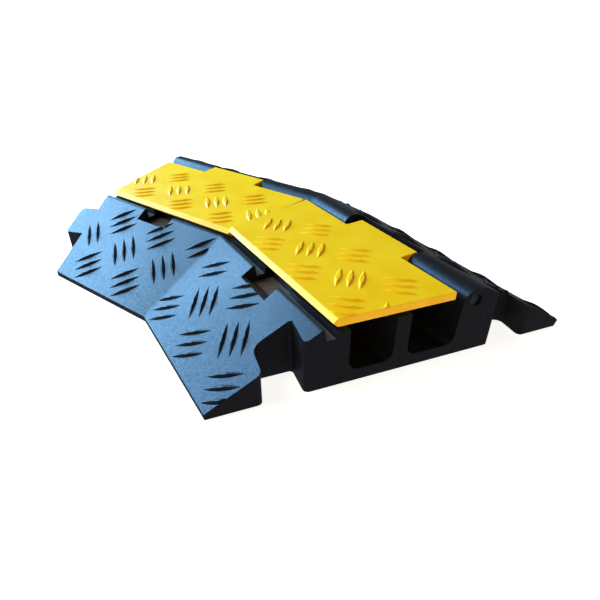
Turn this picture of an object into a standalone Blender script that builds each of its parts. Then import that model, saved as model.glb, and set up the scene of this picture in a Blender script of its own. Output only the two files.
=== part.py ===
"""Cable protector ramp, two-channel corner section: a rubber base, two hinged lids and their pins.

Frame: +Z up, ground at Z = 0. The two legs meet on the mitre plane X = 0, leg A towards -X and leg B
towards +X, and each runs back towards -Y by half the mitre angle. The origin is on the ground, on
the centreline of both legs. A leg is described by u, along it and away from the mitre, by v, across
it and towards the hinge, and by z, up.
"""

import math

import bmesh
import bpy
from mathutils import Matrix, Vector

MM = 0.001
COLLECTION = "cable_protector_ramp"

# Driving dimensions, in millimetres and degrees.
LEG_LENGTH = 162.8
LEG_ANGLE = 11.25
MITRE_SLOPE = math.tan(math.radians(LEG_ANGLE))
OVERLENGTH = 80.0

TOE_V = 125.0
TOE_TOP = 4.5
FAR_NOSE_V = 129.8
FAR_FOOT_V = 127.8
RIDGE_V = -51.7
RIDGE_TOP = 45.5
LAND_WIDTH = 1.6
RAMP_SLOPE = (RIDGE_TOP - TOE_TOP) / (TOE_V + RIDGE_V - LAND_WIDTH)

GROOVE_FLOOR = 37.0
GROOVE_V = (-50.9, -44.5)
SEAT_V = -43.7
SEAT_TOP = 41.2
DIVIDER_TOP = 42.3
CHANNEL_FLOOR = 9.0
CHANNEL_FILLET = 7.0
CHANNEL_1 = (-35.4, -4.8)
CHANNEL_2 = (5.2, 40.5)

HINGE_V = 51.2
HINGE_Z = 41.0
BARREL_R = 9.3
BARREL_START = 175.0
SHOULDER_V = 57.5
SHOULDER_TOP = 49.7
FAR_SLOPE = 31.1
RECESS_R = 10.4
RECESS_BACK = 61.8
RECESS_FLOOR = 34.0
RECESS_SPAN = {"a": (51.5, 118.0), "b": (41.5, 118.0)}
TAB_SPAN = (53.0, 116.5)
TAB_REAR_V = 51.8
KNUCKLE_R = 7.4
OPEN_SKY = 70.0

LID_TOP = 50.3
LID_BOTTOM = 44.3
LID_NOSE_V = -46.1
LID_NOSE_Z = 47.5
LID_CHAMFER = 3.3
LID_REAR_V = 36.5
LID_MITRE_GAP = 0.5
LID_END_SETBACK = 1.5
LID_A_DROOP = 1.7

PIN_R = 4.2
BORE_R = 4.6
BORE_START = 12.0
PIN_START = 13.5
PIN_BEVEL = 0.6
PIN_SETBACK = 1.1

SLOT_SPAN = (65.5, 99.5)
SLOT_OUTER_V = -62.3
SLOT_INNER_V = -39.0
SLOT_LIP = 38.6
SLOT_FLOOR_V = -52.0
SLOT_FLOOR = 33.0

NOTCH_DEPTH = 22.0
NOTCH_WIDTH = 26.0
NOTCH_CENTRES = (-78.5, 85.0)
NOTCH_RADIUS = 3.0
LUG_LENGTH = 21.5
LUG_WIDTH = 24.0
LUG_ROOT = 6.0
LUG_DROP = 1.5

RIB_ROOT = 0.6
RIB_TOP_SHARE = 0.4
RIB_SIDES = 6
RIB_EDGE = 0.5
RIB_TURNS = (-45.0, 45.0)
GROUP_STEP = 23.8
# Length, width, height and spacing of the ribs, and the distance between rows of groups.
RAMP_TREAD = (35.0, 4.7, 1.3, 8.5, 23.6)
LID_TREAD = (30.5, 5.4, 1.1, 7.8, 21.5)
NEAR_FIRST_ROW = 18.3
FAR_FIRST_ROW = 18.9
LID_FIRST_ROW_V = 11.0
TREAD_ROWS = 3
# Along the leg, the first group of the first row on each leg's ramps and lid.
RAMP_FIRST_GROUP = {"a": 16.5, "b": 34.5}
LID_FIRST_GROUP = {"a": 31.5, "b": 49.0}
# How far inside the mitre a rib's middle must be for the rib to be there.
RAMP_RIB_MARGIN = 3.0
LID_RIB_MARGIN = 0.5

ARC_STEPS = 6
ROUND_STEPS = 24
BLEND_STEPS = 3
SHARP_ANGLE = 30.0
MITRE_MERGE = 0.00005

RUBBER = (0.012, 0.012, 0.013)
RUBBER_ROUGHNESS = 0.45
PLASTIC = (0.8, 0.56, 0.01)
PLASTIC_ROUGHNESS = 0.4
STEEL = (0.3, 0.3, 0.31)
STEEL_ROUGHNESS = 0.4


def clear_scene():
    for item in list(bpy.data.objects):
        bpy.data.objects.remove(item, do_unlink=True)


def new_collection(name):
    collection = bpy.data.collections.new(name)
    bpy.context.scene.collection.children.link(collection)
    return collection


def new_material(name, colour, roughness, metallic):
    material = bpy.data.materials.new(name)
    material.use_nodes = True
    shader = material.node_tree.nodes["Principled BSDF"]
    shader.inputs["Base Color"].default_value = (*colour, 1.0)
    shader.inputs["Roughness"].default_value = roughness
    shader.inputs["Metallic"].default_value = metallic
    return material


def leg_matrix(side):
    """The transform from a leg's (u, v, z) in millimetres to the part's frame in metres."""
    turned = Matrix.Rotation(-math.radians(LEG_ANGLE), 4, "Z")
    mirrored = Matrix.Diagonal((side, 1.0, 1.0, 1.0))
    return mirrored @ Matrix.Scale(MM, 4) @ turned


def end_matrix(side):
    """The same for a leg's end face: x out of the face, y along it, z up."""
    turned = Matrix.Rotation(-math.radians(LEG_ANGLE), 4, "Z")
    return leg_matrix(side) @ Matrix.Translation((LEG_LENGTH, 0.0, 0.0)) @ turned


def arc(centre, radius, start, end, steps):
    """Points (v, z) on an arc from one angle to the other, in degrees from +v towards +z."""
    points = []
    for step in range(steps + 1):
        angle = math.radians(start + (end - start) * step / steps)
        points.append((centre[0] + radius * math.cos(angle), centre[1] + radius * math.sin(angle)))
    return points


def far_ramp_z(v):
    return SHOULDER_TOP - math.tan(math.radians(FAR_SLOPE)) * (v - SHOULDER_V)


def channel_outline(span):
    """A channel from its left rim down, across its floor and up to its right rim."""
    r = CHANNEL_FILLET
    left = arc((span[0] + r, CHANNEL_FLOOR + r), r, 180.0, 270.0, BLEND_STEPS)
    right = arc((span[1] - r, CHANNEL_FLOOR + r), r, 270.0, 360.0, BLEND_STEPS)
    return left + right


def base_outline():
    ridge = [
        (-TOE_V, 0.0),
        (-TOE_V, TOE_TOP),
        (RIDGE_V - LAND_WIDTH, RIDGE_TOP),
        (RIDGE_V, RIDGE_TOP),
        (GROOVE_V[0], GROOVE_FLOOR),
        (GROOVE_V[1], GROOVE_FLOOR),
        (SEAT_V, SEAT_TOP),
        (CHANNEL_1[0], SEAT_TOP),
    ]
    divider = [(CHANNEL_1[1], DIVIDER_TOP), (CHANNEL_2[0], DIVIDER_TOP)]
    barrel = arc((HINGE_V, HINGE_Z), BARREL_R, BARREL_START, 90.0, ARC_STEPS + 2)
    far_ramp = [(SHOULDER_V, SHOULDER_TOP), (FAR_NOSE_V, far_ramp_z(FAR_NOSE_V)), (FAR_FOOT_V, 0.0)]
    first = channel_outline(CHANNEL_1)
    second = channel_outline(CHANNEL_2)
    return ridge + first + divider + second + barrel + far_ramp


def mesh_from_curve(outline, thickness):
    """A closed mesh of a flat outline in the curve's XY plane, centred on it in Z."""
    curve = bpy.data.curves.new("outline", "CURVE")
    curve.dimensions = "2D"
    curve.fill_mode = "BOTH"
    curve.extrude = thickness / 2.0
    spline = curve.splines.new("POLY")
    spline.points.add(len(outline) - 1)
    for point, (x, y) in zip(spline.points, outline):
        point.co = (x, y, 0.0, 1.0)
    spline.use_cyclic_u = True
    holder = bpy.data.objects.new("outline", curve)
    bpy.context.scene.collection.objects.link(holder)
    evaluated = holder.evaluated_get(bpy.context.evaluated_depsgraph_get())
    mesh = bpy.data.meshes.new_from_object(evaluated)
    bpy.data.objects.remove(holder, do_unlink=True)
    return mesh


def prism(outline, u_from, u_to):
    """A bmesh in leg coordinates: the (v, z) outline run from one u to the other."""
    bm = bmesh.new()
    bm.from_mesh(mesh_from_curve(outline, u_to - u_from))
    bmesh.ops.remove_doubles(bm, verts=bm.verts, dist=0.001)
    to_leg = Matrix(((0, 0, 1, (u_from + u_to) / 2.0), (1, 0, 0, 0), (0, 1, 0, 0), (0, 0, 0, 1)))
    bmesh.ops.transform(bm, matrix=to_leg, verts=bm.verts)
    return bm


def trim(bm, point, outward, capped):
    """Cut away what lies beyond a plane, and close the cut if it is capped."""
    geometry = bm.verts[:] + bm.edges[:] + bm.faces[:]
    cut = bmesh.ops.bisect_plane(
        bm, geom=geometry, dist=1e-6, plane_co=point, plane_no=outward, clear_outer=True
    )
    if capped:
        rim = [item for item in cut["geom_cut"] if isinstance(item, bmesh.types.BMEdge)]
        bmesh.ops.holes_fill(bm, edges=rim)


def trim_at_mitre(bm, gap, capped):
    """Trim leg coordinates at the mitre plane, moved out along the leg by the gap."""
    trim(bm, Vector((gap, 0.0, 0.0)), Vector((-1.0, -MITRE_SLOPE, 0.0)).normalized(), capped)


def trim_at_end(bm, setback):
    trim(bm, Vector((LEG_LENGTH - setback, 0.0, 0.0)), Vector((1.0, -MITRE_SLOPE, 0.0)).normalized(), True)


def add_object(name, bm, collection, material=None, origin=None):
    """Link a bmesh, already in the part's frame, as an object with its origin where asked."""
    origin = Vector(origin or (0.0, 0.0, 0.0))
    bmesh.ops.translate(bm, verts=bm.verts, vec=-origin)
    mesh = bpy.data.meshes.new(name)
    bm.to_mesh(mesh)
    bm.free()
    item = bpy.data.objects.new(name, mesh)
    item.location = origin
    collection.objects.link(item)
    if material:
        mesh.materials.append(material)
    mesh.shade_smooth()
    mesh.set_sharp_from_angle(angle=math.radians(SHARP_ANGLE))
    return item


def place(bm, matrix):
    bmesh.ops.transform(bm, matrix=matrix, verts=bm.verts)
    bmesh.ops.recalc_face_normals(bm, faces=bm.faces)


def add_tool(name, bm, matrix, tools):
    """A shape that cuts another or is joined to it, kept out of the model."""
    place(bm, matrix)
    item = add_object(name, bm, tools)
    item.hide_render = True
    item.display_type = "WIRE"
    return item


def combine(item, tool, operation):
    modifier = item.modifiers.new(f"{operation.lower()}_{tool.name}", "BOOLEAN")
    modifier.operation = operation
    modifier.solver = "EXACT"
    modifier.object = tool


def rod(radius, u_from, u_to):
    """A cylinder in leg coordinates on the hinge axis."""
    bm = bmesh.new()
    along_u = Matrix.Rotation(math.radians(90.0), 4, "Y")
    centre = Matrix.Translation(((u_from + u_to) / 2.0, HINGE_V, HINGE_Z))
    bmesh.ops.create_cone(
        bm,
        cap_ends=True,
        segments=ROUND_STEPS,
        radius1=radius,
        radius2=radius,
        depth=u_to - u_from,
        matrix=centre @ along_u,
    )
    return bm


def block(x_span, y_span, z_span, corner_x, corner_radius):
    """A box whose upright edges at corner_x are rounded."""
    bm = bmesh.new()
    size = [high - low for low, high in (x_span, y_span, z_span)]
    middle = [(high + low) / 2.0 for low, high in (x_span, y_span, z_span)]
    bmesh.ops.create_cube(bm, size=1.0)
    bmesh.ops.scale(bm, vec=size, verts=bm.verts)
    bmesh.ops.translate(bm, vec=middle, verts=bm.verts)
    upright = []
    for edge in bm.edges:
        first, second = edge.verts
        if first.co.x == second.co.x and first.co.y == second.co.y and abs(first.co.x - corner_x) < MM:
            upright.append(edge)
    bmesh.ops.bevel(
        bm,
        geom=upright,
        offset=corner_radius,
        offset_type="OFFSET",
        segments=BLEND_STEPS,
        profile=0.5,
        affect="EDGES",
        material=-1,
    )
    return bm


class Slope:
    """A sloping or level surface of a leg that carries the tread; w runs down it from the ridge."""

    def __init__(self, top_v, top_z, direction, angle):
        self.top = Vector((0.0, top_v, top_z))
        tilt = math.radians(angle)
        self.down = Vector((0.0, direction * math.cos(tilt), -math.sin(tilt)))
        self.normal = Vector((0.0, direction * math.sin(tilt), math.cos(tilt)))

    def frame(self, u, w, turn):
        """The transform of a rib at (u, w), turned from the leg's direction by an angle."""
        spin = Matrix.Rotation(math.radians(turn), 4, "Z")
        across = self.normal.cross(Vector((1.0, 0.0, 0.0)))
        axes = Matrix((Vector((1.0, 0.0, 0.0)), across, self.normal)).transposed().to_4x4()
        return Matrix.Translation(self.top + Vector((u, 0.0, 0.0)) + self.down * w) @ axes @ spin


def tread(slope, sizes, first_w, first_u, turns, margin, mitre_gap, end_setback):
    """Groups of three lens-shaped ribs on a chequered grid, turned by turns in even and odd rows."""
    length, width, height, spacing, row_step = sizes
    size = Matrix.Diagonal((length / 2.0, width / 2.0, height + RIB_ROOT, 1.0))
    raised = Matrix.Translation((0.0, 0.0, (height - RIB_ROOT) / 2.0))
    quarter = Matrix.Rotation(math.radians(90.0), 4, "Z")
    bm = bmesh.new()
    for row in range(TREAD_ROWS):
        odd = row % 2
        w = first_w + row * row_step
        u = first_u - odd * GROUP_STEP
        while u < LEG_LENGTH + GROUP_STEP:
            for place_in_group in (-1, 0, 1):
                across = Matrix.Translation((0.0, place_in_group * spacing, 0.0))
                rib = slope.frame(u, w, turns[odd]) @ across
                if rib.translation.x + MITRE_SLOPE * rib.translation.y < margin:
                    continue
                bmesh.ops.create_cone(
                    bm,
                    cap_ends=True,
                    segments=RIB_SIDES,
                    radius1=1.0,
                    radius2=RIB_TOP_SHARE,
                    depth=1.0,
                    matrix=rib @ raised @ size @ quarter,
                )
            u += 2.0 * GROUP_STEP
    trim_at_mitre(bm, mitre_gap + RIB_EDGE, True)
    trim_at_end(bm, end_setback + RIB_EDGE)
    return bm


def make_base(parts, tools, rubber):
    half = prism(base_outline(), -OVERLENGTH, LEG_LENGTH + OVERLENGTH)
    trim_at_mitre(half, 0.0, False)
    trim_at_end(half, 0.0)
    place(half, leg_matrix(1.0))
    base = add_object("base", half, parts, rubber)
    mirror = base.modifiers.new("both_legs", "MIRROR")
    mirror.use_axis = (True, False, False)
    mirror.merge_threshold = MITRE_MERGE

    near = Slope(RIDGE_V - LAND_WIDTH, RIDGE_TOP, -1.0, math.degrees(math.atan(RAMP_SLOPE)))
    far = Slope(SHOULDER_V, SHOULDER_TOP, 1.0, FAR_SLOPE)
    for leg, side, turns in (("a", -1.0, RIB_TURNS), ("b", 1.0, RIB_TURNS[::-1])):
        first_u = RAMP_FIRST_GROUP[leg]
        for name, slope, first_w in (("near", near, NEAR_FIRST_ROW), ("far", far, FAR_FIRST_ROW)):
            ribs = tread(slope, RAMP_TREAD, first_w, first_u, turns, RAMP_RIB_MARGIN, 0.0, 0.0)
            combine(base, add_tool(f"{name}_tread_{leg}", ribs, leg_matrix(side), tools), "UNION")

    for number, centre in enumerate(NOTCH_CENTRES):
        half_width = LUG_WIDTH / 2.0
        lug = block(
            (-LUG_ROOT, LUG_LENGTH),
            (centre - half_width, centre + half_width),
            (0.0, RIDGE_TOP),
            LUG_LENGTH,
            NOTCH_RADIUS,
        )
        bmesh.ops.transform(lug, matrix=leg_matrix(1.0).inverted() @ end_matrix(1.0), verts=lug.verts)
        slope = near if centre < 0.0 else far
        trim(lug, slope.top - slope.normal * LUG_DROP, slope.normal, True)
        combine(base, add_tool(f"lug_{number + 1}", lug, leg_matrix(-1.0), tools), "UNION")

        half_width = NOTCH_WIDTH / 2.0
        notch = block(
            (-NOTCH_DEPTH, NOTCH_DEPTH),
            (centre - half_width, centre + half_width),
            (-OVERLENGTH, OVERLENGTH),
            -NOTCH_DEPTH,
            NOTCH_RADIUS,
        )
        combine(base, add_tool(f"notch_{number + 1}", notch, end_matrix(1.0), tools), "DIFFERENCE")

    hinge = (HINGE_V, HINGE_Z)
    depth = math.degrees(math.asin((HINGE_Z - RECESS_FLOOR) / RECESS_R))
    recess_outline = [
        (LID_REAR_V - BARREL_R, RECESS_FLOOR),
        *arc(hinge, RECESS_R, 180.0 + depth, 360.0, ARC_STEPS + 2),
        (RECESS_BACK, HINGE_Z),
        (RECESS_BACK, OPEN_SKY),
        (LID_REAR_V - BARREL_R, OPEN_SKY),
    ]
    slot_outline = [
        (SLOT_OUTER_V, OPEN_SKY),
        (SLOT_OUTER_V, SLOT_LIP),
        (SLOT_FLOOR_V, SLOT_FLOOR),
        (SLOT_INNER_V, SLOT_FLOOR),
        (SLOT_INNER_V, OPEN_SKY),
    ]
    for leg, side in (("a", -1.0), ("b", 1.0)):
        matrix = leg_matrix(side)
        recess = prism(recess_outline, *RECESS_SPAN[leg])
        slot = prism(slot_outline, *SLOT_SPAN)
        bore = rod(BORE_R, BORE_START, LEG_LENGTH + OVERLENGTH)
        for name, shape in (("tab_recess", recess), ("finger_slot", slot), ("pin_bore", bore)):
            combine(base, add_tool(f"{name}_{leg}", shape, matrix, tools), "DIFFERENCE")


def make_lid(leg, side, droop, turns, parts, tools, plastic):
    """A lid with its hinge tab, turned down about its hinge by the droop."""
    hinge = Matrix.Translation((0.0, HINGE_V, HINGE_Z))
    lowered = hinge @ Matrix.Rotation(math.radians(droop), 4, "X") @ hinge.inverted()
    matrix = leg_matrix(side) @ lowered
    outline = [
        (LID_NOSE_V + LID_CHAMFER, LID_BOTTOM),
        (LID_REAR_V, LID_BOTTOM),
        (LID_REAR_V, LID_TOP),
        (LID_NOSE_V + LID_CHAMFER, LID_TOP),
        (LID_NOSE_V, LID_NOSE_Z),
    ]
    plate = prism(outline, -OVERLENGTH, LEG_LENGTH + OVERLENGTH)
    trim_at_mitre(plate, LID_MITRE_GAP, True)
    trim_at_end(plate, LID_END_SETBACK)
    place(plate, matrix)
    middle = sum(TAB_SPAN) / 2.0
    origin = leg_matrix(side) @ Vector((middle, HINGE_V, HINGE_Z))
    lid = add_object(f"lid_{leg}", plate, parts, plastic, origin)

    top = Slope(LID_REAR_V, LID_TOP, -1.0, 0.0)
    first_w = LID_REAR_V - LID_FIRST_ROW_V
    first_u = LID_FIRST_GROUP[leg]
    ribs = tread(
        top, LID_TREAD, first_w, first_u, turns, LID_RIB_MARGIN, LID_MITRE_GAP, LID_END_SETBACK
    )
    trim(ribs, Vector((0.0, LID_NOSE_V + LID_CHAMFER + RIB_EDGE, 0.0)), Vector((0.0, -1.0, 0.0)), True)
    combine(lid, add_tool(f"lid_tread_{leg}", ribs, matrix, tools), "UNION")

    start = math.degrees(math.asin((LID_BOTTOM - HINGE_Z) / KNUCKLE_R))
    end = math.degrees(math.acos((TAB_REAR_V - HINGE_V) / KNUCKLE_R))
    tab_outline = [
        (LID_REAR_V - BARREL_R, LID_BOTTOM),
        *arc((HINGE_V, HINGE_Z), KNUCKLE_R, 180.0 - start, 360.0 + end, 3 * ARC_STEPS),
        (TAB_REAR_V, LID_TOP),
        (LID_REAR_V - BARREL_R, LID_TOP),
    ]
    tab = prism(tab_outline, *TAB_SPAN)
    combine(lid, add_tool(f"tab_{leg}", tab, matrix, tools), "UNION")
    bore = rod(BORE_R, *RECESS_SPAN[leg])
    combine(lid, add_tool(f"tab_bore_{leg}", bore, matrix, tools), "DIFFERENCE")


def make_pin(leg, side, parts, steel):
    """A hinge rod, ending just inside the leg's end face."""
    end = LEG_LENGTH + MITRE_SLOPE * HINGE_V - PIN_SETBACK
    pin = rod(PIN_R, PIN_START, end)
    rims = [edge for edge in pin.edges if len({round(vert.co.x, 3) for vert in edge.verts}) == 1]
    bmesh.ops.bevel(
        pin,
        geom=rims,
        offset=PIN_BEVEL,
        offset_type="OFFSET",
        segments=1,
        profile=0.5,
        affect="EDGES",
        material=-1,
    )
    place(pin, leg_matrix(side))
    origin = leg_matrix(side) @ Vector(((PIN_START + end) / 2.0, HINGE_V, HINGE_Z))
    add_object(f"hinge_pin_{leg}", pin, parts, steel, origin)


def main():
    clear_scene()
    parts = new_collection(COLLECTION)
    tools = new_collection("cutters")
    make_base(parts, tools, new_material("black_rubber", RUBBER, RUBBER_ROUGHNESS, 0.0))
    for leg, side, droop, turns in (
        ("a", -1.0, LID_A_DROOP, RIB_TURNS),
        ("b", 1.0, 0.0, RIB_TURNS[::-1]),
    ):
        plastic = new_material(f"yellow_plastic_{leg}", PLASTIC, PLASTIC_ROUGHNESS, 0.0)
        steel = new_material(f"pin_steel_{leg}", STEEL, STEEL_ROUGHNESS, 1.0)
        make_lid(leg, side, droop, turns, parts, tools, plastic)
        make_pin(leg, side, parts, steel)


main()
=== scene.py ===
"""Looks of a cable protector ramp, corner section: moulded rubber base, yellow lids and hinge pins."""

import math

import bmesh
import bpy
from bpy.props import FloatProperty, FloatVectorProperty, IntProperty, PointerProperty
from mathutils import Matrix, Vector


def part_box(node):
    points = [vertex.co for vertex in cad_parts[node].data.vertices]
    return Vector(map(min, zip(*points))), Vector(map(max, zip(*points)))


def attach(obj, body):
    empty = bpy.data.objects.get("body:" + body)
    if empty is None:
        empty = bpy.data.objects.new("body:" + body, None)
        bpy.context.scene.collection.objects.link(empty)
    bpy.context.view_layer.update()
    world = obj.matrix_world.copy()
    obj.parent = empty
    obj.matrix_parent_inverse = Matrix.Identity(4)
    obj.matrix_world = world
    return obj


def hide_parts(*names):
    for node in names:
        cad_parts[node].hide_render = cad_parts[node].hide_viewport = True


bl_info = {
    "name": "Cable Protector Ramp Looks",
    "version": (1, 0, 0),
    "blender": (4, 5, 0),
    "location": "View3D > Sidebar > Cable Ramp",
    "description": "Builds the finished look of a cable protector ramp corner section around its frame",
    "category": "Object",
}

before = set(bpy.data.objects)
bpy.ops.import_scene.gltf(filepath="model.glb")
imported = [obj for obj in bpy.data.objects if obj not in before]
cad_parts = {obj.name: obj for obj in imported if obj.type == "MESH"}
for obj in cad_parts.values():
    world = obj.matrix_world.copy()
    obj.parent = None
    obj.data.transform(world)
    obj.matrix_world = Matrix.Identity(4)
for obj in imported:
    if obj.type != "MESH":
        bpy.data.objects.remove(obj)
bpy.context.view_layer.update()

# Everything is in metres and degrees. A leg is described by u, along it from the mitre, by v, across
# it towards the hinge, and by z, up. Leg B runs towards +X, and leg A is its mirror image.
LEG_ANGLE = 11.25
MITRE_SLOPE = math.tan(math.radians(LEG_ANGLE))
LEG_LENGTH = 0.1628
OVERLENGTH = 0.08


def leg_matrix(side):
    """From a leg's (u, v, z) to the frame; side is +1 for leg B and -1 for leg A."""
    turned = Matrix.Rotation(-math.radians(LEG_ANGLE), 4, "Z")
    return Matrix.Diagonal((side, 1.0, 1.0, 1.0)) @ turned


def end_matrix(side):
    """From a leg's end face to the frame: x out of the face, y along it, z up."""
    turned = Matrix.Rotation(-math.radians(LEG_ANGLE), 4, "Z")
    return leg_matrix(side) @ Matrix.Translation((LEG_LENGTH, 0.0, 0.0)) @ turned


PIN_LOW, PIN_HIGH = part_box("hinge_pin_b")
HINGE = leg_matrix(1.0).inverted() @ ((PIN_LOW + PIN_HIGH) / 2.0)
HINGE_V = HINGE.y
HINGE_Z = HINGE.z
BARREL_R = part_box("base")[1].z - HINGE_Z

TOE_V = 0.125
TOE_TOP = 0.0045
FAR_NOSE_V = 0.1298
FAR_FOOT_V = 0.1278
NOSE_ROUND = 0.003
RIDGE_V = -0.0517
RIDGE_TOP = 0.0455
LAND_WIDTH = 0.0016
CREASE_WIDTH = 0.0007
CREASE_DEPTH = 0.00035
RAMP_RISE = (RIDGE_TOP - TOE_TOP) / (TOE_V + RIDGE_V - LAND_WIDTH)
RAMP_SLOPE = math.degrees(math.atan(RAMP_RISE))
SHOULDER_V = 0.0575
SHOULDER_TOP = 0.0497
FAR_SLOPE = 31.1

GROOVE_V = (-0.0509, -0.0445)
GROOVE_FLOOR = 0.037
SEAT_V = -0.0437
SEAT_TOP = 0.0412
DIVIDER_TOP = 0.0423
CHANNEL_FLOOR = 0.009
CHANNEL_FILLET = 0.007
CHANNEL_1 = (-0.0354, -0.0048)
CHANNEL_2 = (0.0052, 0.0405)
BARREL_START = 175.0

RECESS_R = 0.0104
RECESS_BACK = 0.0618
RECESS_FLOOR = 0.034
RECESS_SPAN = {"a": (0.0515, 0.118), "b": (0.0415, 0.118)}
TAB_SPAN = (0.053, 0.1165)
TAB_REAR_V = 0.0518
KNUCKLE_R = 0.0074
OPEN_SKY = 0.07

LID_TOP = 0.0503
LID_BOTTOM = 0.0443
LID_NOSE_V = -0.0461
LID_NOSE_Z = 0.0475
LID_CHAMFER = 0.0033
LID_REAR_V = 0.0365
LID_MITRE_GAP = 0.0005
LID_END_SETBACK = 0.0015
LID_DROOP = {"a": 1.7, "b": 0.0}
CHIP_DEPTH = 0.014
# Place across the leg and radius of each chip in lid A's edge along the mitre.
MITRE_CHIPS = (
    (0.0350, 0.0026),
    (0.0316, 0.0011),
    (0.0292, 0.0015),
    (0.0263, 0.0012),
    (0.0231, 0.0015),
    (0.0203, 0.0010),
    (0.0174, 0.0014),
    (0.0141, 0.0010),
    (0.0112, 0.0013),
)

BORE_R = 0.0046
BORE_START = 0.012
PIN_R = 0.0042
PIN_START = 0.0135
PIN_SETBACK = 0.0011

SLOT_SPAN = (0.0655, 0.0995)
SLOT_LIP_V = -0.0632
SLOT_DROP_V = -0.0575
SLOT_FLOOR_V = -0.052
SLOT_INNER_V = -0.039
SLOT_FLOOR = 0.033
# How the outer lip rolls over: each point's run in from the lip and its drop below it.
SLOT_LIP_ROLL = ((0.001, 0.0001), (0.0028, 0.0011))
# The fillet at the foot of the lip: its height, its run along the floor and its lift there.
SLOT_FOOT_RISE = 0.0032
SLOT_FOOT_RUN = 0.003
SLOT_FOOT_LIFT = 0.0008

NOTCH_DEPTH = 0.022
NOTCH_WIDTH = 0.026
NOTCH_CENTRES = (-0.0785, 0.085)
NOTCH_OUTER_R = 0.006
NOTCH_INNER_R = 0.0025
MOUTH_R = 0.0035
LUG_LENGTH = 0.0215
LUG_WIDTH = 0.024
LUG_ROOT = 0.006
LUG_DROP = 0.0015
LUG_INNER_R = 0.005
LUG_OUTER_R = 0.0022

# Half the distance along a leg between two groups of ribs in a row.
GROUP_STEP = {"ramp_a": 0.0238, "ramp_b": 0.0243, "lid_a": 0.0238, "lid_b": 0.0238}
RIB_ROOT = 0.0006
RAMP_RIB_ROUNDING = 0.15
LID_RIB_ROUNDING = 0.7
RIB_TURNS = {"a": (-45.0, 45.0), "b": (45.0, -45.0)}
RAMP_FIRST_GROUP = {"a": 0.0165, "b": 0.0345}
RAMP_ROW_STEP = 0.0236
NEAR_FIRST_ROW = 0.0183
FAR_FIRST_ROW = 0.0189
RAMP_MITRE_MARGIN = 0.003
RAMP_TOP_ROW_MARGIN = {"a": 0.0, "b": 0.018}
RAMP_TOP_ROW_END_MARGIN = {"a": 0.004, "b": 0.045}
RAMP_END_MARGIN = {"a": 0.004, "b": -0.001}
LID_FIRST_GROUP = {"a": 0.0315, "b": 0.049}
LID_ROW_STEP = 0.0215
LID_FIRST_ROW_V = 0.011
LID_MARGIN = 0.0005
LID_END_MARGIN = {"a": 0.002, "b": -0.01}
TREAD_ROWS = 3
CUT_EDGE = 0.0004

SMOOTH_ANGLE = 40.0
BEVEL_ANGLE = 30.0
SHORTEST_BASE_EDGE = 0.0012
SHORTEST_LID_EDGE = 0.001
EDGE_STEPS = 2
CORNER_STEPS = 6
MOUTH_STEPS = 4
RIB_SEGMENTS = 24
CHIP_SIDES = 7
CHIP_TAPER = 0.7
ROD_SEGMENTS = 40
PLANE_TOLERANCE = 1e-7
FINE_MERGE = 1e-6
CUT_MERGE = 5e-6
MIRROR_MERGE = 1e-5
UPRIGHT_TOLERANCE = 1e-5
CORNER_REACH = 1e-4

SIDES = {"a": -1.0, "b": 1.0}

WINDOW_SIZE = (1.1, 0.74)
WINDOW_DISTANCE = 1.1
WINDOW_AZIMUTH = 198.0
WINDOW_ELEVATION = 25.0
GLOW_ANGLE = 25.0
KEY_DIRECTION = (-0.42, -0.50, 0.76)
FILL_DIRECTION = (0.85, -0.50, 0.12)
AIR_STRENGTH = 0.2
FLOOR_REACH = 30.0
SENSOR_WIDTH = 36.0
CAMERA_PLACE = (0.28991, -0.24120, 0.21471)
CAMERA_AZIMUTH = 46.896
CAMERA_ELEVATION = 34.025


def linear(code):
    """An sRGB hex colour as linear red, green and blue."""
    levels = [int(code[i : i + 2], 16) / 255.0 for i in (1, 3, 5)]
    return tuple(c / 12.92 if c <= 0.04045 else ((c + 0.055) / 1.055) ** 2.4 for c in levels)


class CABLERAMP_PG_base(bpy.types.PropertyGroup):
    """The rubber base moulding."""

    edge_radius: FloatProperty(
        name="Edge radius", description="Rounding of the moulded edges", default=0.0006, unit="LENGTH"
    )
    edge_segments: IntProperty(name="Edge segments", description="Steps in an edge's rounding", default=2)
    arc_steps: IntProperty(name="Arc steps", description="Steps in a fillet or a barrel", default=8)
    rubber: FloatVectorProperty(
        name="Rubber", description="Colour of the rubber", default=linear("#141416"), subtype="COLOR"
    )
    # Blue tint of the rubber's reflections: a painted reflection of the blue window light.
    painted_reflection_tint: FloatVectorProperty(
        name="Bloom", description="Tint of the waxy bloom", default=linear("#C4DBFF"), subtype="COLOR"
    )
    # Colour of the dust, also used for the painted reflection of a warm wall on the far ramps.
    dust_and_reflection: FloatVectorProperty(
        name="Dust", description="Colour of settled dust", default=linear("#6C675F"), subtype="COLOR"
    )


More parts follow.
